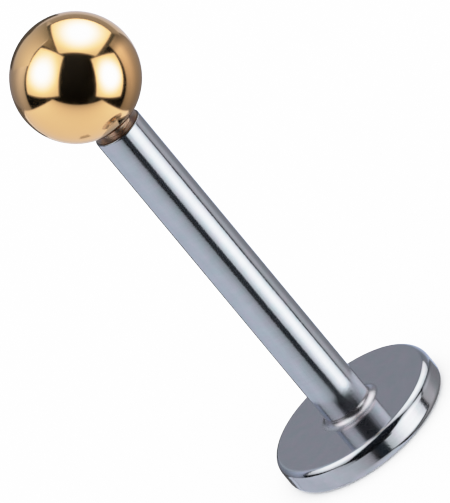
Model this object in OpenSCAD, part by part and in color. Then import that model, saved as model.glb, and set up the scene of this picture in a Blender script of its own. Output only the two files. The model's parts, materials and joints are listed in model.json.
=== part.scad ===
// Labret stud: a straight steel post with a flat disc on one end and a screw-on ball on the other.
// It stands on the disc. The origin is the middle of the disc's underside and +Z runs up the post.
// All sizes are in millimetres.

/* [Post] */
// Diameter of the plain post, the 14 gauge size
post_d = 1.6; // [1.4:0.1:2.4]
// Length of the post's plain wall, from the disc's inner face to the chamfer of the shoulder
post_len = 12; // [6:0.5:18]
// Radius of the fillet where the post grows out of the disc
fillet_r = 0.24; // [0.1:0.02:0.5]
// Chamfer round the edge of the post's shoulder
shoulder_chamfer = 0.06; // [0.02:0.01:0.1]

/* [Disc] */
// Diameter of the disc over its rim
disc_d = 5.7; // [4:0.1:8]
// Thickness of the disc
disc_t = 0.92; // [0.7:0.02:1.5]
// Width of the bevel round the inner face, measured across the disc
bevel_w = 0.15; // [0.08:0.01:0.3]
// Height of the bevel, measured down the rim
bevel_h = 0.27; // [0.15:0.01:0.35]
// How far the bevel bulges out from a straight chamfer
bevel_crown = 0.03; // [0.01:0.005:0.04]
// Radius of the round at the edge that the stud stands on
foot_r = 0.25; // [0.1:0.01:0.3]

/* [Thread] */
// Diameter over the crests of the screw thread, an M1.2 thread on this gauge
thread_d = 1.2; // [0.9:0.05:1.25]
// Distance from one thread crest to the next
thread_pitch = 0.25; // [0.2:0.01:0.35]
// Plain neck turned under the shoulder, which the gap below the ball leaves open to view
neck_len = 0.2; // [0.05:0.01:0.3]
// Radial clearance between the thread's crests and the bore in the ball
thread_fit = 0.02; // [0.01:0.005:0.05]

/* [Ball] */
// Diameter of the ball
ball_d = 4; // [3:0.1:8]
// Gap between the shoulder and the lowest point of the ball's sphere
seat_gap = 0.1; // [0.05:0.01:0.5]
// Metal left between the point of the bore and the top of the ball
crown_wall = 0.85; // [0.4:0.05:1.5]
// Room left in the bore past the tip of the thread
tip_room = 0.35; // [0.1:0.05:0.6]
// Width of the countersink round the mouth of the bore
mouth_w = 0.1; // [0.05:0.01:0.2]
// Angle across the conical floor that the drill leaves
drill_angle = 118; // [90:1:140]

/* [Hidden] */
$fn = 96;
// How far solids of one piece reach into each other where they join
join = 0.1;

post_r = post_d / 2;
disc_r = disc_d / 2;
ball_r = ball_d / 2;
face_r = disc_r - bevel_w;
wall_top = disc_t + post_len;
shoulder_z = wall_top + shoulder_chamfer;
ball_z = shoulder_z + seat_gap + ball_r;

// The metric thread form: flats of an eighth of the pitch on the crests and a quarter in the roots
crest_flat = thread_pitch / 8;
root_flat = thread_pitch / 4;
flank = (thread_pitch - crest_flat - root_flat) / 2;
crest_r = thread_d / 2;
root_r = crest_r - flank / tan(30);

bore_r = crest_r + thread_fit;
drill_point_h = bore_r / tan(drill_angle / 2);
bore_depth = ball_d - crown_wall - drill_point_h;
stub_len = bore_depth + seat_gap - tip_room;
turns = floor((stub_len - neck_len) / thread_pitch);

// The bevel is an arc through the edge of the inner face and the top of the rim's straight side
bevel_chord = norm([bevel_w, bevel_h]);
bevel_r = pow(bevel_chord, 2) / (8 * bevel_crown) + bevel_crown / 2;
bevel_inward = [-bevel_h, -bevel_w] / bevel_chord;
bevel_mid = [disc_r - bevel_w / 2, disc_t - bevel_h / 2];
bevel_centre = bevel_mid + (bevel_r - bevel_crown) * bevel_inward;

// Profile of the disc from its axis outwards: flat faces, crowned bevel above and round foot below
module disc_profile() {
    polygon([
        [0, 0],
        [disc_r - foot_r, 0],
        [disc_r - foot_r, foot_r],
        [disc_r, foot_r],
        [disc_r, disc_t - bevel_h],
        [face_r, disc_t],
        [0, disc_t],
    ]);
    intersection() {
        translate([disc_r - foot_r, foot_r]) circle(r = foot_r);
        translate([disc_r - foot_r, 0]) square(foot_r);
    }
    intersection() {
        translate(bevel_centre) circle(r = bevel_r);
        translate([face_r, disc_t - bevel_h]) square([bevel_w, bevel_h]);
    }
}

// Ring of metal that rounds the corner between the post and the disc's inner face
module fillet_ring() {
    rotate_extrude() difference() {
        translate([post_r - join, disc_t - join]) square(fillet_r + join);
        translate([post_r + fillet_r, disc_t + fillet_r]) circle(r = fillet_r);
    }
}

// One groove and crest of the thread's outline, as radius and height above the shoulder
function thread_turn(i) = let (z = neck_len + i * thread_pitch) [
    [root_r, z],
    [root_r, z + root_flat],
    [crest_r, z + root_flat + flank],
    [crest_r, z + root_flat + flank + crest_flat],
];

// Screw thread above the shoulder, drawn as closed ring grooves of the thread's form and pitch
module thread_stub() {
    tip_h = neck_len + turns * thread_pitch;
    rotate_extrude() polygon(concat(
        [[0, -join], [root_r, -join]],
        [for (i = [0 : turns - 1]) each thread_turn(i)],
        [[root_r, tip_h], [0, tip_h]]
    ));
}

module labret_post() color([0.74, 0.75, 0.78]) {
    rotate_extrude() disc_profile();
    fillet_ring();
    translate([0, 0, disc_t - join]) cylinder(h = post_len + join, r = post_r);
    translate([0, 0, wall_top]) cylinder(h = shoulder_chamfer, r1 = post_r, r2 = post_r - shoulder_chamfer);
    translate([0, 0, shoulder_z]) thread_stub();
}

// Blind threading hole, up from the ball's lowest point, with its drill point and countersunk mouth
module ball_bore() {
    mouth_r = bore_r + mouth_w;
    mouth_z = ball_z - sqrt(pow(ball_r, 2) - pow(mouth_r, 2));
    translate([0, 0, shoulder_z]) cylinder(h = seat_gap + bore_depth, r = bore_r);
    translate([0, 0, shoulder_z + seat_gap + bore_depth])
        cylinder(h = drill_point_h, r1 = bore_r, r2 = 0);
    translate([0, 0, mouth_z - join]) cylinder(h = join + mouth_w, r1 = mouth_r + join, r2 = bore_r);
}

module ball() color([0.9, 0.7, 0.42]) difference() {
    translate([0, 0, ball_z]) sphere(r = ball_r);
    ball_bore();
}

labret_post();
ball();
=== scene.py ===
import json
import math

import bpy
import numpy as np
from bpy.props import FloatProperty, FloatVectorProperty, PointerProperty
from mathutils import Matrix, Vector

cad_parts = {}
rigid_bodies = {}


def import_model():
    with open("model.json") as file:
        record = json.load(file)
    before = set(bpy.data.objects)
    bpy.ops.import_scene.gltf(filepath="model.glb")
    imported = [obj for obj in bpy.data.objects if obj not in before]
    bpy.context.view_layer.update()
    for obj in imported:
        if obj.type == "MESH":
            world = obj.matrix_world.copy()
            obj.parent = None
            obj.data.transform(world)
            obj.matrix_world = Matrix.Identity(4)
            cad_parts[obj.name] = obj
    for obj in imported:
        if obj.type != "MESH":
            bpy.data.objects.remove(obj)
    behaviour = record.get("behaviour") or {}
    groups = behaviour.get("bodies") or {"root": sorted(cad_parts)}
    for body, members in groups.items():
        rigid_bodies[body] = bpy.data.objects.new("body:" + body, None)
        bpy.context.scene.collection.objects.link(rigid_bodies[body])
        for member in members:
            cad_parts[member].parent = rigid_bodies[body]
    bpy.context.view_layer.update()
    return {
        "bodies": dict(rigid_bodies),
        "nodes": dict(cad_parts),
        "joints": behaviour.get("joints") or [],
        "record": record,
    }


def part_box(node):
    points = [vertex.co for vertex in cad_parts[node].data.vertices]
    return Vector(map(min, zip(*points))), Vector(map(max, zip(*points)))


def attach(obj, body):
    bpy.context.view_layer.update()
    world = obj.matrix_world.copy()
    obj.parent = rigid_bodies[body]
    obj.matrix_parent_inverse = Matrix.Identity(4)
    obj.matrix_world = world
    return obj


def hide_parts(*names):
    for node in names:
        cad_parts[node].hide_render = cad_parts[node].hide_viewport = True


bl_info = {
    "name": "Labret Stud",
    "version": (1, 0, 0),
    "blender": (4, 5, 0),
    "location": "View3D > Sidebar > Labret Stud",
    "description": "Finishes a labret stud: turned steel post and disc, gold-plated ball, studio stage",
    "category": "Object",
}

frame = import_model()

MM = 0.001
# Picture size that the view is framed for, in pixels
PICTURE = (450, 503)

MOUNTS = {mount["name"]: mount for mount in frame["record"]["mounts"]}
POST_PIN = MOUNTS["post"]
POST_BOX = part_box("labret_post")
BALL_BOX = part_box("ball")
# The pin mount spans the post's plain wall, from the fillet on the disc to the round of the shoulder
PIN_HALF = POST_PIN["dims"]["length_mm"] * MM / 2
PIN_LOW = POST_PIN["pos_m"][2] - PIN_HALF
PIN_HIGH = POST_PIN["pos_m"][2] + PIN_HALF


# Settings that the sidebar shows


def length(name, description, default):
    """A size in metres, shown to a thousandth of a millimetre."""
    return FloatProperty(name=name, description=description, default=default, unit="LENGTH", precision=6,
                         min=0.0)


def share(name, description, default):
    """A plain number from 0 to 1."""
    return FloatProperty(name=name, description=description, default=default, min=0.0, max=1.0)


def number(name, description, default, subtype="NONE"):
    """A plain number."""
    return FloatProperty(name=name, description=description, default=default, subtype=subtype)


def angle(name, description, degrees):
    """An angle, given here in degrees and stored in radians."""
    return FloatProperty(name=name, description=description, default=math.radians(degrees), subtype="ANGLE")


def colour(name, description, default):
    """A linear RGB colour."""
    return FloatVectorProperty(name=name, description=description, default=default, subtype="COLOR", size=3,
                               min=0.0, max=2.0)


class StudPostSizes(bpy.types.PropertyGroup):
    """Sizes of the steel piece: post, disc and threaded stub."""

    post_radius: length("Post radius", "Radius of the plain post", POST_PIN["dims"]["r_mm"] * MM)
    fillet: length("Fillet", "Radius of the fillet between post and disc", 0.24 * MM)
    shoulder_round: length("Shoulder round", "Round at the edge of the post's shoulder", 0.06 * MM)
    disc_radius: length("Disc radius", "Radius of the disc over its rim", POST_BOX[1].x)
    bevel_width: length("Bevel width", "Width of the bevel, across the disc", 0.15 * MM)
    bevel_height: length("Bevel height", "Height of the bevel, down the rim", 0.27 * MM)
    bevel_crown: length("Bevel crown", "Bulge of the bevel past a straight chamfer", 0.03 * MM)
    foot: length("Foot round", "Radius of the round at the edge that the stud stands on", 0.25 * MM)
    face_edge: length("Face edge", "Round between the disc's inner face and the bevel", 0.13 * MM)
    edge_break: length("Edge break", "Round that polishing leaves on every sharp edge", 0.018 * MM)
    thread_radius: length("Thread radius", "Radius over the thread's crests", 0.6 * MM)
    thread_pitch: length("Thread pitch", "Rise of the thread in one turn", 0.25 * MM)
    neck: length("Neck", "Plain length between the shoulder and the thread", 0.2 * MM)
    tip_chamfer: length("Tip chamfer", "Length over which the thread fades out at the tip", 0.2 * MM)


class StudBallSizes(bpy.types.PropertyGroup):
    """Sizes of the ball and its threaded hole."""

    radius: length("Ball radius", "Radius of the ball", 2.0 * MM)
    thread_fit: length("Thread fit", "Radial clearance between the thread and the hole", 0.02 * MM)
    groove: length("Groove", "Depth of the thread grooves cut into the hole's wall", 0.06 * MM)
    mouth: length("Mouth", "Width of the countersink round the hole", 0.1 * MM)
    crown_wall: length("Crown wall", "Metal between the point of the hole and the ball's top", 0.85 * MM)
    drill_angle: angle("Drill angle", "Angle across the hole's conical floor", 118.0)


class StudFinish(bpy.types.PropertyGroup):
    """Colours and polish of the two metals, with painted reflection and painted shade round the seat."""

    steel: colour("Steel", "Colour of the polished steel", (0.435, 0.47, 0.52))
    face_steel: colour("Face steel", "Colour of the disc's turned inner face", (0.47, 0.46, 0.495))
    rim_steel: colour("Rim steel", "Colour of the disc's rim and underside", (0.46, 0.478, 0.515))
    fillet_steel: colour("Fillet steel", "Colour of the fillet between post and disc", (0.42, 0.41, 0.435))
    # Painted reflection: the warm tint of the seat and thread stands for the gold ball mirrored in the seat
    cut_steel_painted_gold: colour("Cut steel", "Colour of the thread and the seat under the ball", (0.46, 0.395, 0.37))
    # Painted shade: the near-black colour of the seat's outer edge stands for the dark shade between ball
    # and shoulder
    cut_edge: colour("Cut edge", "Colour of the edge round the seat", (0.1, 0.085, 0.08))
    # Painted reflection: the neck's tan colour stands for the ball's gold mirrored in the steel neck
    neck: colour("Neck", "Colour of the neck under the ball, which the ball's gold warms", (0.8, 0.63, 0.47))
    gold: colour("Gold", "Colour of the gold plating", (1.0, 0.61, 0.275))
    post_roughness: share("Post roughness", "Roughness of the polished post", 0.1)
    face_roughness: share("Face roughness", "Roughness of the disc's turned inner face", 0.11)
    rim_roughness: share("Rim roughness", "Roughness of the disc's rim", 0.1)
    fillet_roughness: share("Fillet roughness", "Roughness of the fillet between post and disc", 0.27)
    cut_roughness: share("Cut roughness", "Roughness of the thread and the seat under the ball", 0.32)
    neck_roughness: share("Neck roughness", "Roughness of the neck and the edge round the seat", 0.3)
    gold_roughness: share("Gold roughness", "Roughness of the plated ball", 0.09)


class StudStage(bpy.types.PropertyGroup):
    """Camera, floor and studio light."""

    elevation: angle("Elevation", "Height of the camera above the floor, seen from the stud", 24.07)
    roll: angle("Roll", "Turn of the camera about its own axis", -39.70)
    lens: number("Lens", "Focal length of the long lens, in millimetres", 1200.0)
    scale: number("Scale", "Pixels of the picture to one millimetre of the stud", 33.16)
    centre_x: number("Centre across", "Picture column of the stud's middle", 213.4, "PIXEL")
    centre_y: number("Centre down", "Picture row of the stud's middle", 243.4, "PIXEL")
    floor: colour("Floor", "Colour of the floor", (0.9, 0.9, 0.9))
    card_distance: length("Card distance", "Distance from the stud to each light card", 350.0 * MM)


# Shapes

# Distance along an outline from a round to the guard point beside it
GUARD = 0.012 * MM
# Radius that asks for one more point on a round, and the fewest and the most steps of a round
ROUND_STEP = 0.012 * MM
ROUND_STEPS = (5, 28)
# Spacing of the points on a straight run
RUN_STEP = 0.35 * MM


def smooth_step(x):
    """0 below 0, 1 above 1, and between them the eased rise x x (3 - 2 x)."""
    x = np.clip(x, 0.0, 1.0)
    return x * x * (3 - 2 * x)


def corner_arc(before, corner, after, radius, steps):
    """Points of the true arc that rounds a corner and is tangent to both of its legs.

    The centre lies on the corner's bisector, radius / sin(half the corner) away. With start and end measured
    from it and s the angle between them, the point at the share t of the arc is
    centre + (start sin((1 - t) s) + end sin(t s)) / sin s.
    """
    back = (before - corner) / np.linalg.norm(before - corner)
    on = (after - corner) / np.linalg.norm(after - corner)
    half = math.acos(np.clip(back @ on, -1.0, 1.0)) / 2
    reach = radius / math.tan(half)
    centre = corner + (back + on) / np.linalg.norm(back + on) * radius / math.sin(half)
    start, end = corner + back * reach - centre, corner + on * reach - centre
    t = np.linspace(0.0, 1.0, steps + 1)[:, None]
    sweep = math.acos(np.clip(start @ end / (radius * radius), -1.0, 1.0))
    return centre + (start * np.sin((1 - t) * sweep) + end * np.sin(t * sweep)) / math.sin(sweep)


def straight_run(start, end):
    """Inner points of a straight stretch of outline: a guard point near each end, even ones between."""
    span = np.linalg.norm(end - start)
    if span < 3 * GUARD:
        return []
    inner = np.linspace(GUARD / span, 1 - GUARD / span, 2 + int(span / RUN_STEP))
    return [start + (end - start) * inner[:, None]]


def rounded_profile(corners):
    """Outline through corners given as (radius, height, round), each round made a true arc.

    The first and last corners are its ends and stay as they are. A guard point stands at both ends of every
    straight run, so that the shading of a round stops there and the flat beside it stays flat.
    """
    points = np.array([c[:2] for c in corners])
    rows = [points[:1]]
    for i in range(1, len(corners) - 1):
        size = corners[i][2]
        steps = int(np.clip(size / ROUND_STEP, *ROUND_STEPS))
        arc = corner_arc(points[i - 1], points[i], points[i + 1], size, steps)
        rows += straight_run(rows[-1][-1], arc[0])
        rows.append(arc)
    rows += straight_run(rows[-1][-1], points[-1])
    rows.append(points[-1:])
    return np.concatenate(rows)


def revolve(name, radius, height):
    """Closed surface round the Z axis, as one mesh.

    The point of a row at angle t is (radius cos t, radius sin t, height). radius is an array of rows by
    angles, so it may change with the angle, as a thread's does, and height has one number for each row. The
    first and last rows lie on the axis and become one pole each. Rows run with the metal on their left, and
    so the faces point outwards.
    """
    rows, turns = radius.shape
    t = np.linspace(0.0, 2 * math.pi, turns, endpoint=False)
    z = np.broadcast_to(height, radius.shape)
    ring = np.stack([radius * np.cos(t), radius * np.sin(t), z], axis=-1)
    verts = np.concatenate([ring[0, :1], ring[1:-1].reshape(-1, 3), ring[-1, :1]])

    here = 1 + np.arange((rows - 2) * turns).reshape(rows - 2, turns)
    on = np.roll(here, -1, axis=1)
    quads = np.stack([here[:-1], on[:-1], on[1:], here[1:]], axis=-1).reshape(-1, 4)
    last = len(verts) - 1
    start = np.stack([np.zeros(turns, int), on[0], here[0]], axis=-1)
    end = np.stack([here[-1], on[-1], np.full(turns, last)], axis=-1)

    mesh = bpy.data.meshes.new(name)
    mesh.from_pydata(verts.tolist(), [], start.tolist() + quads.tolist() + end.tolist())
    mesh.polygons.foreach_set("use_smooth", np.ones(len(mesh.polygons), bool))
    mesh.update()
    return mesh


def thread_form(turns_along):
    """Metric thread form, 0 in the root and 1 on the crest, as a function of the turns along the axis.

    The crest is an eighth of a turn wide and the root a quarter, with flanks between that rise by a smooth
    step.
    """
    crest, root = 1 / 8, 1 / 4
    flank = (1 - crest - root) / 2
    from_crest = np.abs(turns_along - np.round(turns_along))
    return smooth_step((crest / 2 + flank - from_crest) / flank)


def thread_depth(pitch):
    """Depth of the metric thread form between its flats: 5/8 of the height of its 60 degree triangle."""
    return 5 / 8 * pitch * math.cos(math.radians(30))


def face_height(sizes):
    """Height of the disc's inner face, where the fillet starts."""
    return PIN_LOW - sizes.fillet


def shoulder_height(sizes):
    """Height of the post's shoulder, the seat under the ball."""
    return PIN_HIGH + sizes.shoulder_round


def link_new(mesh):
    """Puts a mesh into the scene as an object of its own name, at the origin."""
    obj = bpy.data.objects.new(mesh.name, mesh)
    bpy.context.scene.collection.objects.link(obj)
    return obj


def paint(mesh, materials, zone):
    """Gives the mesh its materials and each face the slot that zone(face radius, face height) returns."""
    for material in materials:
        mesh.materials.append(material)
    centre = np.empty(len(mesh.polygons) * 3)
    mesh.polygons.foreach_get("center", centre)
    centre = centre.reshape(-1, 3)
    slot = zone(np.hypot(centre[:, 0], centre[:, 1]), centre[:, 2])
    mesh.polygons.foreach_set("material_index", slot.astype(np.int32))
    mesh.update()


# Finishes


class NodePad:
    """Adds and links nodes in a tree that it first empties."""

    def __init__(self, tree):
        self.tree = tree
        tree.nodes.clear()

    def add(self, kind, settings=None, **inputs):
        """Adds a node, sets its settings, and fills or links its inputs by name."""
        node = self.tree.nodes.new(kind)
        for key, value in (settings or {}).items():
            setattr(node, key, value)
        for key, value in inputs.items():
            self.feed(node.inputs[key.replace("_", " ")], value)
        return node

    def feed(self, socket, value):
        """Links a socket to an output, or sets its value."""
        if isinstance(value, bpy.types.NodeSocket):
            self.tree.links.new(value, socket)
        else:
            socket.default_value = value

    def feed_all(self, node, values):
        """Links or sets a node's first inputs in their order, and returns the node."""
        for socket, value in zip(node.inputs, values):
            self.feed(socket, value)
        return node

    def maths(self, operation, *values, clamp=False):
        """One Math node, returned as its output."""
        node = self.add("ShaderNodeMath", {"operation": operation, "use_clamp": clamp})
        return self.feed_all(node, values).outputs[0]

    def vector(self, operation, *values):
        """One Vector Math node, returned as its vector or, for LENGTH and DOT_PRODUCT, its number."""
        node = self.feed_all(self.add("ShaderNodeVectorMath", {"operation": operation}), values)
        return node.outputs["Value" if operation in ("LENGTH", "DOT_PRODUCT") else "Vector"]

    def scaled(self, tint, factor):
        """A colour times a factor, returned as its output. Either may be linked."""
        node = self.add("ShaderNodeVectorMath", {"operation": "SCALE"}, Scale=factor)
        return self.feed_all(node, [tint]).outputs[0]

    def between(self, factor, first, second):
        """A colour from first to second by a factor, returned as its output. first and second are RGB."""
        node = self.add("ShaderNodeMix", {"data_type": "RGBA"}, Factor=factor)
        # The node has sockets of one name for each data type: these are the colour's A, B and Result
        node.inputs[6].default_value = (*first, 1.0)
        node.inputs[7].default_value = (*second, 1.0)
        return node.outputs[2]

    def span(self, value, low, high):
        """Maps a value from 0 to 1 onto low to high."""
        return self.add("ShaderNodeMapRange", Value=value, To_Min=low, To_Max=high).outputs[0]

    def eased(self, value, low, high, start=0.0, end=1.0):
        """Eases from start to end while the value goes from low to high."""
        return self.add("ShaderNodeMapRange", {"interpolation_type": "SMOOTHSTEP"}, Value=value,
                        From_Min=low, From_Max=high, To_Min=start, To_Max=end).outputs[0]

    def noise(self, vector, scale, detail=2.0, roughness=0.5):
        """One Noise Texture, returned as its grey output."""
        node = self.add("ShaderNodeTexNoise", Vector=vector, Scale=scale, Detail=detail, Roughness=roughness)
        return node.outputs["Fac"]

    def place(self):
        """Coordinates on the piece, whose Z axis is the stud's own."""
        return self.add("ShaderNodeTexCoord").outputs["Object"]

    def surface(self, shader, kind="ShaderNodeOutputMaterial"):
        """Ends the tree with an output node that shows the shader."""
        self.add(kind, Surface=shader.outputs[0])


def new_material(name):
    """An empty node material, and the pad that fills it."""
    material = bpy.data.materials.new(name)
    material.use_nodes = True
    return material, NodePad(material.node_tree)


def around_axis(pad, place):
    """A pattern's coordinates (distance from the Z axis, 0, height), and the height alone.

    A pattern that reads them is the same all the way round, as a lathe leaves it.
    """
    radius = pad.vector("LENGTH", pad.vector("MULTIPLY", place, (1.0, 1.0, 0.0)))
    height = pad.add("ShaderNodeSeparateXYZ", Vector=place).outputs["Z"]
    return pad.add("ShaderNodeCombineXYZ", X=radius, Z=height).outputs[0], height


def tinted(tint, change):
    """A colour whose three parts are each multiplied by a part of change."""
    return tuple(part * by for part, by in zip(tint, change))


def steel_material(name, tint, roughness, grooves, groove_scale, grain, uneven, haze, dull=None, drawn=0.0):
    """Turned and polished steel.

    Fine rings left by the lathe run round the axis, broken up by a slow mottle, and both stir the colour and
    the roughness. Rings, pits and streaks make the bump. grooves is the rings' share in it and groove_scale
    their number in a millimetre. grain is the share of the fine pits, uneven the share of the roughness that
    the mottle moves, and haze the share of plain scatter, which keeps worked steel from ever looking black.
    dull is the roughness added in the corner above the disc, where a polishing wheel doesn't reach, and the
    height at which it has faded out. drawn is the share of the long streaks that run along drawn wire.
    """
    material, pad = new_material(name)
    place = pad.place()
    lathe, level = around_axis(pad, place)
    along = pad.vector("MULTIPLY", place, (1.0, 1.0, 0.06))
    rings = pad.noise(lathe, groove_scale / MM, 3.0, 0.6)
    mottle = pad.noise(place, 1.6 / MM, 3.0, 0.55)
    pits = pad.noise(place, 13.0 / MM, 2.0, 0.6)
    streaks = pad.noise(along, 2.4 / MM, 3.0, 0.6)

    patches = pad.add("ShaderNodeMapRange", Value=pad.noise(place, 3.0 / MM), From_Min=0.3, From_Max=0.7)
    cast = pad.between(patches.outputs[0], tinted(tint, (0.95, 1.01, 0.99)),
                       tinted(tint, (1.05, 0.99, 1.01)))
    shade = pad.maths("ADD", pad.span(mottle, 1 - 0.4 * uneven, 1 + 0.25 * uneven),
                      pad.span(rings, -0.04, 0.04))
    shade = pad.maths("ADD", shade, pad.span(streaks, -0.015 * drawn, 0.015 * drawn))
    rough = pad.maths("ADD", pad.span(mottle, roughness * (1 - uneven), roughness * (1 + uneven)),
                      pad.span(rings, -0.02 * grooves, 0.02 * grooves), clamp=True)
    if dull:
        added, top = dull
        rough = pad.maths("ADD", rough, pad.eased(level, PIN_LOW, top, added, 0.0))
    height = pad.maths("ADD", pad.maths("MULTIPLY", rings, grooves), pad.maths("MULTIPLY", pits, grain))
    height = pad.maths("ADD", height, pad.maths("MULTIPLY", streaks, drawn))
    bump = pad.add("ShaderNodeBump", Strength=1.0, Distance=0.0006 * MM, Height=height)
    pad.surface(pad.add("ShaderNodeBsdfPrincipled", Base_Color=pad.scaled(cast, shade), Metallic=1 - haze,
                        Roughness=rough, Normal=bump.outputs[0]))
    return material


def gold_material(name, tint, roughness):
    """Mirror-polished gold plating: faint orange-peel bump, hairline haze, a deeper tone in patches."""
    material, pad = new_material(name)
    place = pad.place()
    peel = pad.noise(place, 1.1 / MM, 2.0, 0.5)
    hairline = pad.noise(place, 14.0 / MM, 3.0, 0.6)
    base = pad.between(pad.span(peel, 0.0, 0.6), tint, tinted(tint, (0.97, 0.93, 0.88)))
    rough = pad.span(hairline, roughness * 0.6, roughness * 1.5)
    height = pad.maths("ADD", peel, pad.maths("MULTIPLY", hairline, 0.06))
    bump = pad.add("ShaderNodeBump", Strength=1.0, Distance=0.0004 * MM, Height=height)
    pad.surface(pad.add("ShaderNodeBsdfPrincipled", Base_Color=base, Metallic=1.0, Roughness=rough,
                        Normal=bump.outputs[0]))
    return material


def glow_material(name):
    """Light card that shines with the colour stored on its points."""
    material, pad = new_material(name)
    glow = pad.add("ShaderNodeAttribute", {"attribute_name": "glow"}).outputs["Color"]
    pad.surface(pad.add("ShaderNodeEmission", Color=glow, Strength=1.0))
    material.cycles.emission_sampling = "NONE"
    return material


def floor_material(tint):
    """Plain pale floor with the faintest mottle, some 25 mm from patch to patch."""
    material, pad = new_material("pale_floor")
    grey = pad.span(pad.noise(pad.place(), 40.0), 0.995, 1.005)
    pad.surface(pad.add("ShaderNodeBsdfDiffuse", Color=pad.scaled(tint, grey)))
    return material


# Steel piece

# Slots of its finishes: post, disc's inner face, rim and underside, seat and thread with a warm tint as
# painted reflection of the gold ball, edge of the seat in near-black painted shade, fillet on the disc, and
# neck with a tan tint as painted reflection of the gold ball
POST, FACE, RIM, CUT, SEAT_EDGE_PAINTED_SHADE, FILLET, NECK_PAINTED_REFLECTION = range(7)


class STUD_OT_post(bpy.types.Operator):
    """Makes the steel piece: post, disc with its bevel and fillet, shoulder and screw thread"""

    bl_idname = "stud.post"
    bl_label = "Steel Post"

    turns = 192
    rows_per_pitch = 20
    # Part of the crown's own radius that leaves room for the rounds at both edges of the bevel
    crown_part = 0.74
    # Rise over which the thread grows out of the neck, in pitches
    run_in = 0.4
    # How far a row may lie below the disc's inner face and still be finished like it
    face_skin = 0.001 * MM
    # Rise of the fillet at which its own finish starts, as a share of its radius
    fillet_start = 0.0005
    # Rise of the neck's bottom corner at which the neck's finish starts, as a share of the edge's round
    neck_start = 0.2

    def outline(self, s, root, neck_top):
        """Rows below the thread: up the outside from the foot's middle to the neck, as radius and height."""
        face, shoulder = face_height(s), shoulder_height(s)
        low = np.array([s.disc_radius, face - s.bevel_height])
        high = np.array([s.disc_radius - s.bevel_width, face])
        chord = high - low
        outward = np.array([chord[1], -chord[0]]) / np.linalg.norm(chord)
        # Straight legs that meet at twice the crown wrap the crowned bevel
        apex = (low + high) / 2 + outward * 2 * s.bevel_crown
        crown_radius = self.crown_part * (chord @ chord) / (8 * s.bevel_crown)
        return rounded_profile([
            (0.0, 0.0, 0.0),
            (s.disc_radius, 0.0, s.foot),
            (*low, s.edge_break),
            (*apex, crown_radius),
            (*high, s.face_edge),
            (s.post_radius, face, s.fillet),
            (s.post_radius, shoulder, s.shoulder_round),
            (root, shoulder, s.edge_break),
            (root, neck_top, 0.0),
        ])

    def thread(self, s, root, low, tip):
        """Rows of the screw thread from low to the tip: radius by height and angle, and the heights.

        The radius at height z, a share t of the way round, is the root's plus the thread's depth times
        thread_form((z - low) / pitch - t), so the ridge climbs one pitch in each turn. It grows out of the
        neck and fades out at the tip.
        """
        rows = int((tip - low) / s.thread_pitch * self.rows_per_pitch)
        z = np.linspace(low, tip, rows + 1)[1:, None]
        t = np.linspace(0.0, 1.0, self.turns, endpoint=False)[None, :]
        ridge = thread_form((z - low) / s.thread_pitch - t)
        grown = np.clip((z - low) / (self.run_in * s.thread_pitch), 0.0, 1.0)
        left = np.clip((tip - z) / s.tip_chamfer, 0.0, 1.0)
        return root + thread_depth(s.thread_pitch) * np.minimum(ridge, grown * left), z

    def finishes(self, finish):
        """Materials of the steel piece in the order of its slots."""
        return [
            steel_material("polished_post", finish.steel, finish.post_roughness, grooves=0.12,
                           groove_scale=9.0, grain=2.0, uneven=0.25, haze=0.018, dull=(0.1, 3.5 * MM),
                           drawn=7.0),
            steel_material("turned_face", finish.face_steel, finish.face_roughness, grooves=1.8,
                           groove_scale=16.0, grain=0.35, uneven=0.15, haze=0.008),
            steel_material("polished_rim", finish.rim_steel, finish.rim_roughness, grooves=0.6,
                           groove_scale=12.0, grain=2.2, uneven=0.4, haze=0.006),
            # Seat and thread: steel with a warm painted reflection of the gold ball
            steel_material("cut_thread", finish.cut_steel_painted_gold, finish.cut_roughness, grooves=0.3,
                           groove_scale=20.0, grain=0.6, uneven=0.3, haze=0.015),
            # Painted shade on the seat's outer edge, near black
            steel_material("cut_edge", finish.cut_edge, finish.neck_roughness, grooves=0.3,
                           groove_scale=20.0, grain=0.6, uneven=0.5, haze=0.015),
            steel_material("turned_fillet", finish.fillet_steel, finish.fillet_roughness, grooves=0.6,
                           groove_scale=16.0, grain=0.8, uneven=0.2, haze=0.008),
            # Neck: tan painted reflection of the gold ball on the steel
            steel_material("neck", finish.neck, finish.neck_roughness, grooves=0.3,
                           groove_scale=20.0, grain=0.6, uneven=0.3, haze=0.01),
        ]

    def execute(self, context):
        s = context.scene.stud_post
        face, shoulder = face_height(s), shoulder_height(s)
        neck_top, tip = shoulder + s.neck, POST_BOX[1].z
        root = s.thread_radius - thread_depth(s.thread_pitch)
        outline = self.outline(s, root, neck_top)
        thread, z = self.thread(s, root, neck_top, tip)
        plain = np.repeat(outline[:, :1], self.turns, axis=1)
        radius = np.concatenate([plain, thread, np.zeros((1, self.turns))])
        height = np.concatenate([outline[:, 1:], z, [[tip]]])
        obj = link_new(revolve("steel_post", radius, height))

        def zone(r, h):
            """Slot of each face by its radius and height. Where two zones overlap, the later line wins."""
            under_wall = h < PIN_LOW
            past_face = r > s.disc_radius - s.bevel_width - s.edge_break
            slot = np.where(under_wall, FILLET, POST)
            slot[h < face + self.fillet_start * s.fillet] = FACE
            slot[(h < face - self.face_skin) | (under_wall & past_face)] = RIM
            seat = h > shoulder - 0.5 * s.shoulder_round
            # Seat and thread take the steel with the warm painted reflection of the gold
            slot[seat] = CUT
            # The seat's outer edge gets the near-black painted shade
            slot[seat & (r > s.post_radius - s.shoulder_round)] = SEAT_EDGE_PAINTED_SHADE
            # The neck gets the tan painted reflection of the gold
            slot[(h > shoulder + self.neck_start * s.edge_break) & (h < neck_top)] = NECK_PAINTED_REFLECTION
            return slot

        paint(obj.data, self.finishes(context.scene.stud_finish), zone)
        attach(obj, "post")
        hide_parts("labret_post")
        return {"FINISHED"}


# Gold ball


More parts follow.
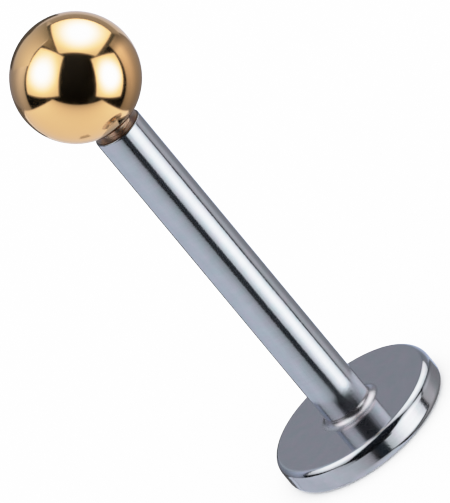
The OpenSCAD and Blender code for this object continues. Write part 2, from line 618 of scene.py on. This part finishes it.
class STUD_OT_ball(bpy.types.Operator):
    """Makes the gold-plated ball with its countersunk, threaded hole"""

    bl_idname = "stud.ball"
    bl_label = "Gold Ball"

    turns = 256
    rows_per_pitch = 14
    # Rows of the hole's cone, of its countersink, and of the ball's outside
    cone_rows = 8
    sink_rows = 6
    outside_rows = 128

    def outline(self, s, bore, pitch):
        """Rows as radius and height, with the height of the hole's floor and the depth of the grooves.

        They go down the hole from its point, along cone, threaded wall and countersink, and then up over the
        ball, whose row at the angle u above its middle is (radius cos u, middle + radius sin u).
        """
        top = BALL_BOX[1].z
        middle = top - s.radius
        apex = top - s.crown_wall
        floor = apex - bore / math.tan(s.drill_angle / 2)
        mouth = bore + s.mouth
        mouth_z = middle - math.sqrt(s.radius ** 2 - mouth ** 2)
        wall_end = mouth_z + s.mouth
        wall_rows = int((floor - wall_end) / pitch * self.rows_per_pitch)
        cone = np.linspace([0.0, apex], [bore, floor], self.cone_rows)
        wall = np.linspace([bore, floor], [bore, wall_end], wall_rows)[1:]
        sink = np.linspace([bore, wall_end], [mouth, mouth_z], self.sink_rows)[1:]
        start = -math.acos(mouth / s.radius)
        lift = start + (math.pi / 2 - start) * np.linspace(0.0, 1.0, self.outside_rows)[1:]
        outside = np.stack([s.radius * np.cos(lift), middle + s.radius * np.sin(lift)], axis=-1)
        outside[-1] = (0.0, top)
        rows = np.concatenate([cone, wall, sink, outside])
        depth = np.zeros((len(rows), 1))
        depth[len(cone):len(cone) + len(wall) - 1] = s.groove
        return rows, floor, depth

    def execute(self, context):
        s = context.scene.stud_ball
        post = context.scene.stud_post
        finish = context.scene.stud_finish
        outline, floor, depth = self.outline(s, post.thread_radius + s.thread_fit, post.thread_pitch)
        t = np.linspace(0.0, 1.0, self.turns, endpoint=False)[None, :]
        z = outline[:, 1:]
        radius = outline[:, :1] + thread_form((z - floor) / post.thread_pitch - t) * depth
        obj = link_new(revolve("gold_ball", radius, z))
        obj.data.materials.append(gold_material("gold_plating", finish.gold, finish.gold_roughness))
        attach(obj, "ball")
        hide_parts("ball")
        return {"FINISHED"}


# Studio

# Brightness of the plain white surroundings that light the floor
FLOOR_LIGHT = 1.85
# Faint light of a card's dark frame, and half the width over which the card eases to it
FRAME_LIGHT = (0.068, 0.08, 0.092)
BORDER = 0.03
# Tints of the near and far ends of a plain card
WHITE = ((1.0, 1.0, 1.0), (1.0, 1.0, 1.0))


def card(name, corners, hot=0.0, frame=(0.02, 0.02), rise=0.0, dim=0.0, tints=WHITE):
    """A light card as a reflection in the ball shows it.

    Each corner is (out, clock, level): degrees out from the lens axis, seen from the stud; degrees round
    that axis, 0 at the right of the picture and 90 at its top; and the brightness there. The first and last
    corners are at the card's far end. hot is what the lamp behind adds in the middle. frame is the width of
    the dark frame along the sides and at the ends, as a share of half the card; below 0 there is none. rise
    is what is added along both sides, or taken off below 0. dim is what is taken off along the near end, and
    tints are the colours of the near and far ends.
    """
    return {"name": name, "corners": corners, "hot": hot, "frame": frame, "rise": rise, "dim": dim,
            "tints": tints}


CARDS = (
    card("top_softbox", ((120, 115, 1.15), (50, 125.5, 0.75), (52, 45.5, 0.7), (118, 52, 1.15)),
         hot=1.45, frame=(0.17, 0.1)),
    card("left_softbox", ((85, 139.5, 1.15), (41, 120.5, 0.85), (44, -131.5, 0.7), (98, -161, 0.8)),
         hot=1.45, frame=(0.08, 0.1)),
    card("right_softbox", ((85.8, 32.5, 0.95), (41.5, 49, 0.85), (49.8, -42.5, 0.85), (93.8, -22.5, 0.9)),
         hot=1.7, frame=(0.08, 0.085)),
    card("table_card", ((131, -148, 0.65), (57, -136, 1.04), (63, -40.5, 0.99), (139, -31.5, 0.83)),
         rise=0.2, dim=0.64, tints=((1.0, 1.02, 1.05), (0.955, 0.99, 1.11))),
    card("table_back", ((170, -95, 0.9), (131, -148, 0.88), (139, -31.5, 0.6), (170, -50, 0.6)),
         tints=((0.95, 1.0, 1.12), (0.92, 1.0, 1.18))),
    card("far_backdrop", ((172, 120, 0.75), (134, 132, 0.52), (134, 48, 0.6), (168, 0, 0.75)),
         tints=((0.9, 1.0, 1.25), (0.88, 1.0, 1.3))),
    card("top_gap", ((135, 117, 0.36), (122, 115, 0.3), (119, 50, 0.3), (134, 42, 0.34)),
         frame=(-0.04, -0.04), tints=((0.95, 1.0, 1.12), (0.95, 1.0, 1.12))),
    card("dark_gap", ((148, 172, 0.07), (140, 135, 0.09), (153, 80, 0.09), (176, 30, 0.06))),
    card("dark_corner", ((160, -165, 0.12), (140, -151, 0.12), (157, -118, 0.12), (173, -110, 0.12))),
    card("low_gap", ((52, -60, 0.024), (44, -62, 0.014), (44, -45, 0.014), (55, -47, 0.024)),
         tints=((0.75, 1.0, 1.4), (0.75, 1.0, 1.4))),
    card("high_gap", ((86, 136, 0.3), (62, 129, 0.12), (62, 125, 0.08), (88, 122, 0.26))),
    card("grey_wall", ((140, 176, 0.54), (91.5, 167, 1.1), (86.5, 121.5, 0.38), (140, 116, 0.45)),
         frame=(-0.04, -0.04), rise=-0.2, tints=((0.93, 1.0, 1.12), (0.93, 1.0, 1.12))),
    card("dark_spot", ((135, -87, 0.38), (125, -85, 0.5), (122, -78, 0.5), (131, -76, 0.38))),
)

# Light of the room from its near side backwards, as (place on the way, colour)
ROOM_LIGHT = (
    (0.085, (0.008, 0.01, 0.013)),
    (0.115, (0.52,) * 3),
    (0.17, (0.59,) * 3),
    (0.27, (0.58,) * 3),
    (0.36, (0.465,) * 3),
    (0.45, (0.335,) * 3),
    (0.55, (0.27,) * 3),
    (0.66, (0.23,) * 3),
    (0.8, (0.16,) * 3),
)
# Colours of the walls at the lower right and at the upper left
WARM_WALL = (1.04, 0.985, 0.98)
COOL_WALL = (0.92, 1.0, 1.22)
# Clock position, round the lens axis, of the deep end of the shadow on the wall, and how deep it is there
SHADOW_CLOCK = math.radians(46.0)
SHADOW_DEPTH = 0.64

# Film-like shoulder as (scene light, picture light): tones up to 0.6 stay and brighter ones ease to white
TONES = ((0.3, 0.3), (0.6, 0.6), (0.8, 0.77), (1.0, 0.87), (1.25, 0.957), (1.6, 0.99), (2.5, 0.998),
         (4.0, 1.0))
# Where the tone curve ends
TONE_END = (8.0, 1.0)
# Grey at which the light starts to lose its colour, and grey at which it has lost it all
PALE_FROM, PALE_AT = 0.77, 1.5


def camera_axes(stage):
    """The camera's right, up and backward directions as the columns of a matrix in the row's frame."""
    level = Matrix.Rotation(math.pi / 2 - stage.elevation, 3, "X")
    return level @ Matrix.Rotation(stage.roll, 3, "Z")


def toward(out, clock):
    """Unit vector in the camera's frame for a direction given by its angles out from and round the axis."""
    out, clock = math.radians(out), math.radians(clock)
    return Vector((math.sin(out) * math.cos(clock), math.sin(out) * math.sin(clock), math.cos(out)))


def card_glow(plan, a, b, weights):
    """Colours of a planned card at (a, b), where weights mix its four corners.

    The brightness is the bilinear mix of the corners' levels, plus hot times exp(-1.9 a a - 1.5 b b), plus
    rise times a a, less dim times (1 - b) / 2 to the fifth power. It eases to the dark frame over a narrow
    border.
    """
    levels = np.array([corner[2] for corner in plan["corners"]])
    level = (weights @ levels)[:, None] + plan["hot"] * np.exp(-1.9 * a * a - 1.5 * b * b)
    level += plan["rise"] * a * a - plan["dim"] * ((1 - b) / 2) ** 5
    near, far = plan["tints"]
    tint = weights @ np.array([far, near, near, far])
    inside_a, inside_b = (smooth_step((1 + BORDER - abs(side)) / (2 * BORDER)) for side in (a, b))
    lit = inside_a * inside_b
    return np.hstack([tint * level * lit + np.array(FRAME_LIGHT) * (1 - lit), np.ones_like(a)])


def make_card(plan, axes, middle, distance, steps=64):
    """Makes a planned card: flat, four-cornered, facing the stud, and seen only in the metal's reflections.

    Across the card a runs from -1 to 1 between its lit sides, and b from -1 at the near end to 1 at the far
    one, and a little beyond each for the frame. The point at (a, b) is the bilinear mix of the corners.
    """
    rays = [axes @ toward(*corner[:2]) for corner in plan["corners"]]
    facing = sum(rays, Vector()).normalized()
    corners = np.array([ray * (distance / ray.dot(facing)) for ray in rays])

    line = np.linspace(-1.0, 1.0, steps + 1)
    a, b = (side.ravel()[:, None] for side in np.meshgrid(line, line))
    a, b = a / (1 - plan["frame"][0]), b / (1 - plan["frame"][1])
    weights = np.hstack([(1 - a) * (1 + b), (1 - a) * (1 - b), (1 + a) * (1 - b), (1 + a) * (1 + b)]) / 4
    places = np.array(middle) + weights @ corners

    mesh = bpy.data.meshes.new(plan["name"])
    first = (np.arange(steps)[:, None] * (steps + 1) + np.arange(steps)).ravel()
    quads = np.stack([first, first + 1, first + steps + 2, first + steps + 1], axis=-1)
    mesh.from_pydata(places.tolist(), [], quads.tolist())
    glow = mesh.attributes.new("glow", "FLOAT_COLOR", "POINT")
    glow.data.foreach_set("color", card_glow(plan, a, b, weights).ravel())
    mesh.materials.append(glow_material(plan["name"]))
    obj = link_new(mesh)
    obj.visible_camera = obj.visible_diffuse = obj.visible_shadow = False


def ramp_node(pad, value, stops):
    """Colour ramp through (position, colour) stops, returned as its colour output."""
    ramp = pad.add("ShaderNodeValToRGB", Fac=value)
    while len(ramp.color_ramp.elements) < len(stops):
        ramp.color_ramp.elements.new(0.5)
    for element, (at, shade) in zip(ramp.color_ramp.elements, stops):
        element.position = at
        element.color = (*shade, 1.0)
    return ramp.outputs[0]


def wall_shadow(pad, right, up, nearer):
    """Share of the light that a soft shadow leaves on the wall beside the far right end of the top box.

    It deepens while up cos c - right sin c + 0.18 nearer + 0.03 goes from -0.27 to -0.06, with c its clock
    position, and it lies on the right of the picture alone.
    """
    past = pad.maths("MULTIPLY_ADD", nearer, 0.18, 0.03)
    past = pad.maths("MULTIPLY_ADD", right, -math.sin(SHADOW_CLOCK), past)
    past = pad.maths("MULTIPLY_ADD", up, math.cos(SHADOW_CLOCK), past)
    depth = pad.eased(past, -0.27, -0.06, 0.0, SHADOW_DEPTH)
    side = pad.eased(right, 0.15, 0.45)
    return pad.maths("SUBTRACT", 1.0, pad.maths("MULTIPLY", depth, side))


def studio_world(world, axes):
    """Surroundings: plain white for the floor and the camera, a dim room for the metal's reflections.

    The room is measured in the camera's frame, x to its right, y up and z towards it. It is nearly black on
    the camera's side and has pale walls behind the plane z = 0.29 y - 0.155. They grow dimmer away from that
    plane and brighter and bluer upwards and to the left, and a soft shadow lies on them at the upper right.
    """
    world.use_nodes = True
    pad = NodePad(world.node_tree)
    ray = pad.add("ShaderNodeTexCoord").outputs["Generated"]
    right, up, nearer = (pad.vector("DOT_PRODUCT", ray, tuple(axes.col[i])) for i in range(3))
    behind = pad.maths("SUBTRACT", pad.maths("MULTIPLY_ADD", up, 0.29, -0.155), nearer)
    walls = ramp_node(pad, pad.maths("MULTIPLY_ADD", behind, 0.7, 0.1), ROOM_LIGHT)
    lift = pad.maths("MULTIPLY_ADD", right, -0.15, pad.maths("MULTIPLY_ADD", up, 1.1, 1.0))
    lift = pad.maths("MULTIPLY", lift, wall_shadow(pad, right, up, nearer))
    cooler = pad.maths("MULTIPLY_ADD", right, -0.6, pad.maths("MULTIPLY_ADD", up, 0.4, 0.5), clamp=True)
    tint = pad.between(cooler, WARM_WALL, COOL_WALL)
    lit_walls = pad.vector("MULTIPLY", pad.scaled(walls, lift), tint)
    room = pad.add("ShaderNodeBackground", Color=lit_walls, Strength=1.0)
    plain = pad.add("ShaderNodeBackground", Color=(1.0, 1.0, 1.0, 1.0), Strength=FLOOR_LIGHT)
    mirrored = pad.add("ShaderNodeLightPath").outputs["Is Glossy Ray"]
    mix = pad.feed_all(pad.add("ShaderNodeMixShader"), (mirrored, plain.outputs[0], room.outputs[0]))
    pad.surface(mix, "ShaderNodeOutputWorld")
    world.cycles.sampling_method = "NONE"


def pale_highlights(scene):
    """Drains the colour from the brightest light, as a camera does, by its grey."""
    scene.use_nodes = True
    pad = NodePad(scene.node_tree)
    image = pad.add("CompositorNodeRLayers").outputs["Image"]
    grey = pad.add("CompositorNodeRGBToBW", Image=image).outputs[0]
    pale = pad.feed_all(pad.add("CompositorNodeMapRange", {"use_clamp": True}),
                        (grey, PALE_FROM, PALE_AT, 0.0, 1.0))
    mix = pad.feed_all(pad.add("CompositorNodeMixRGB"), (pale.outputs[0], image, grey))
    pad.add("CompositorNodeComposite", Image=mix.outputs[0])


def photo_tone(view):
    """Sets the picture's tone curve, the same on red, green and blue, so bright colours pale as on film."""
    view.view_transform = "Standard"
    view.use_curve_mapping = True
    mapping = view.curve_mapping
    mapping.use_clip = False
    for curve in mapping.curves[:3]:
        curve.points[1].location = TONE_END
        for tone in TONES:
            curve.points.new(*tone)
    mapping.update()


class STUD_OT_stage(bpy.types.Operator):
    """Makes the pale floor, the studio light and the camera at the picture's angle"""

    bl_idname = "stud.stage"
    bl_label = "Stage"

    # Half the width of the floor, in metres
    floor_half = 3.0
    # Width of the camera's sensor, in millimetres
    sensor = 36.0

    def make_camera(self, context, stage, axes, middle):
        """Camera at the stage's angle, so far off that the picture has the stage's scale."""
        camera = bpy.data.cameras.new("camera")
        camera.lens = stage.lens
        camera.sensor_width = self.sensor
        distance = max(PICTURE) * stage.lens / (camera.sensor_width * stage.scale) * MM
        across = (PICTURE[0] / 2 - stage.centre_x) / stage.scale * MM
        down = (PICTURE[1] / 2 - stage.centre_y) / stage.scale * MM
        aim = middle + axes.col[0] * across - axes.col[1] * down
        obj = bpy.data.objects.new("camera", camera)
        obj.matrix_world = Matrix.Translation(aim + axes.col[2] * distance) @ axes.to_4x4()
        camera.clip_start, camera.clip_end = distance / 10, distance * 10
        context.scene.collection.objects.link(obj)
        context.scene.camera = obj

    def make_floor(self, stage):
        """Wide floor that the metal doesn't mirror, as the cards stand for what lies below the stud."""
        half = self.floor_half
        mesh = bpy.data.meshes.new("floor")
        corners = [(-half, -half, 0), (half, -half, 0), (half, half, 0), (-half, half, 0)]
        mesh.from_pydata(corners, [], [(0, 1, 2, 3)])
        mesh.materials.append(floor_material(stage.floor))
        floor = link_new(mesh)
        floor.visible_glossy = False

    def execute(self, context):
        scene = context.scene
        stage = scene.stud_stage
        axes = camera_axes(stage)
        ball_middle = BALL_BOX[1].z - scene.stud_ball.radius
        middle = Vector((0.0, 0.0, (ball_middle + face_height(scene.stud_post)) / 2))
        self.make_camera(context, stage, axes, middle)
        self.make_floor(stage)
        for plan in CARDS:
            make_card(plan, axes, Vector((0.0, 0.0, ball_middle)), stage.card_distance)
        scene.world = bpy.data.worlds.new("studio")
        studio_world(scene.world, axes)
        photo_tone(scene.view_settings)
        pale_highlights(scene)
        return {"FINISHED"}


# Panel and registration


class STUD_PT_panel(bpy.types.Panel):
    """Sidebar panel that lists the stud's sizes, finishes and operators"""

    bl_idname = "STUD_PT_panel"
    bl_label = "Labret Stud"
    bl_space_type = "VIEW_3D"
    bl_region_type = "UI"
    bl_category = "Labret Stud"

    def draw(self, context):
        for title, group, operator in STEPS:
            box = self.layout.box()
            box.label(text=title)
            settings = getattr(context.scene, group)
            for key in settings.bl_rna.properties.keys():
                if key not in ("rna_type", "name"):
                    box.prop(settings, key)
            if operator:
                box.operator(operator)


# The panel's boxes, and the order in which the operators run
STEPS = (
    ("Finish", "stud_finish", None),
    ("Post", "stud_post", "stud.post"),
    ("Ball", "stud_ball", "stud.ball"),
    ("Stage", "stud_stage", "stud.stage"),
)
GROUPS = {
    "stud_post": StudPostSizes,
    "stud_ball": StudBallSizes,
    "stud_finish": StudFinish,
    "stud_stage": StudStage,
}
CLASSES = (*GROUPS.values(), STUD_OT_post, STUD_OT_ball, STUD_OT_stage, STUD_PT_panel)


def register():
    """Adds the classes, and each group of settings to the scene."""
    for cls in CLASSES:
        bpy.utils.register_class(cls)
    for name, group in GROUPS.items():
        setattr(bpy.types.Scene, name, PointerProperty(type=group))


def unregister():
    """Takes the settings and the classes out again."""
    for name in GROUPS:
        delattr(bpy.types.Scene, name)
    for cls in reversed(CLASSES):
        bpy.utils.unregister_class(cls)


def main():
    """Builds the stud on its stage."""
    register()
    bpy.ops.stud.post()
    bpy.ops.stud.ball()
    bpy.ops.stud.stage()


if __name__ == "__main__":
    main()
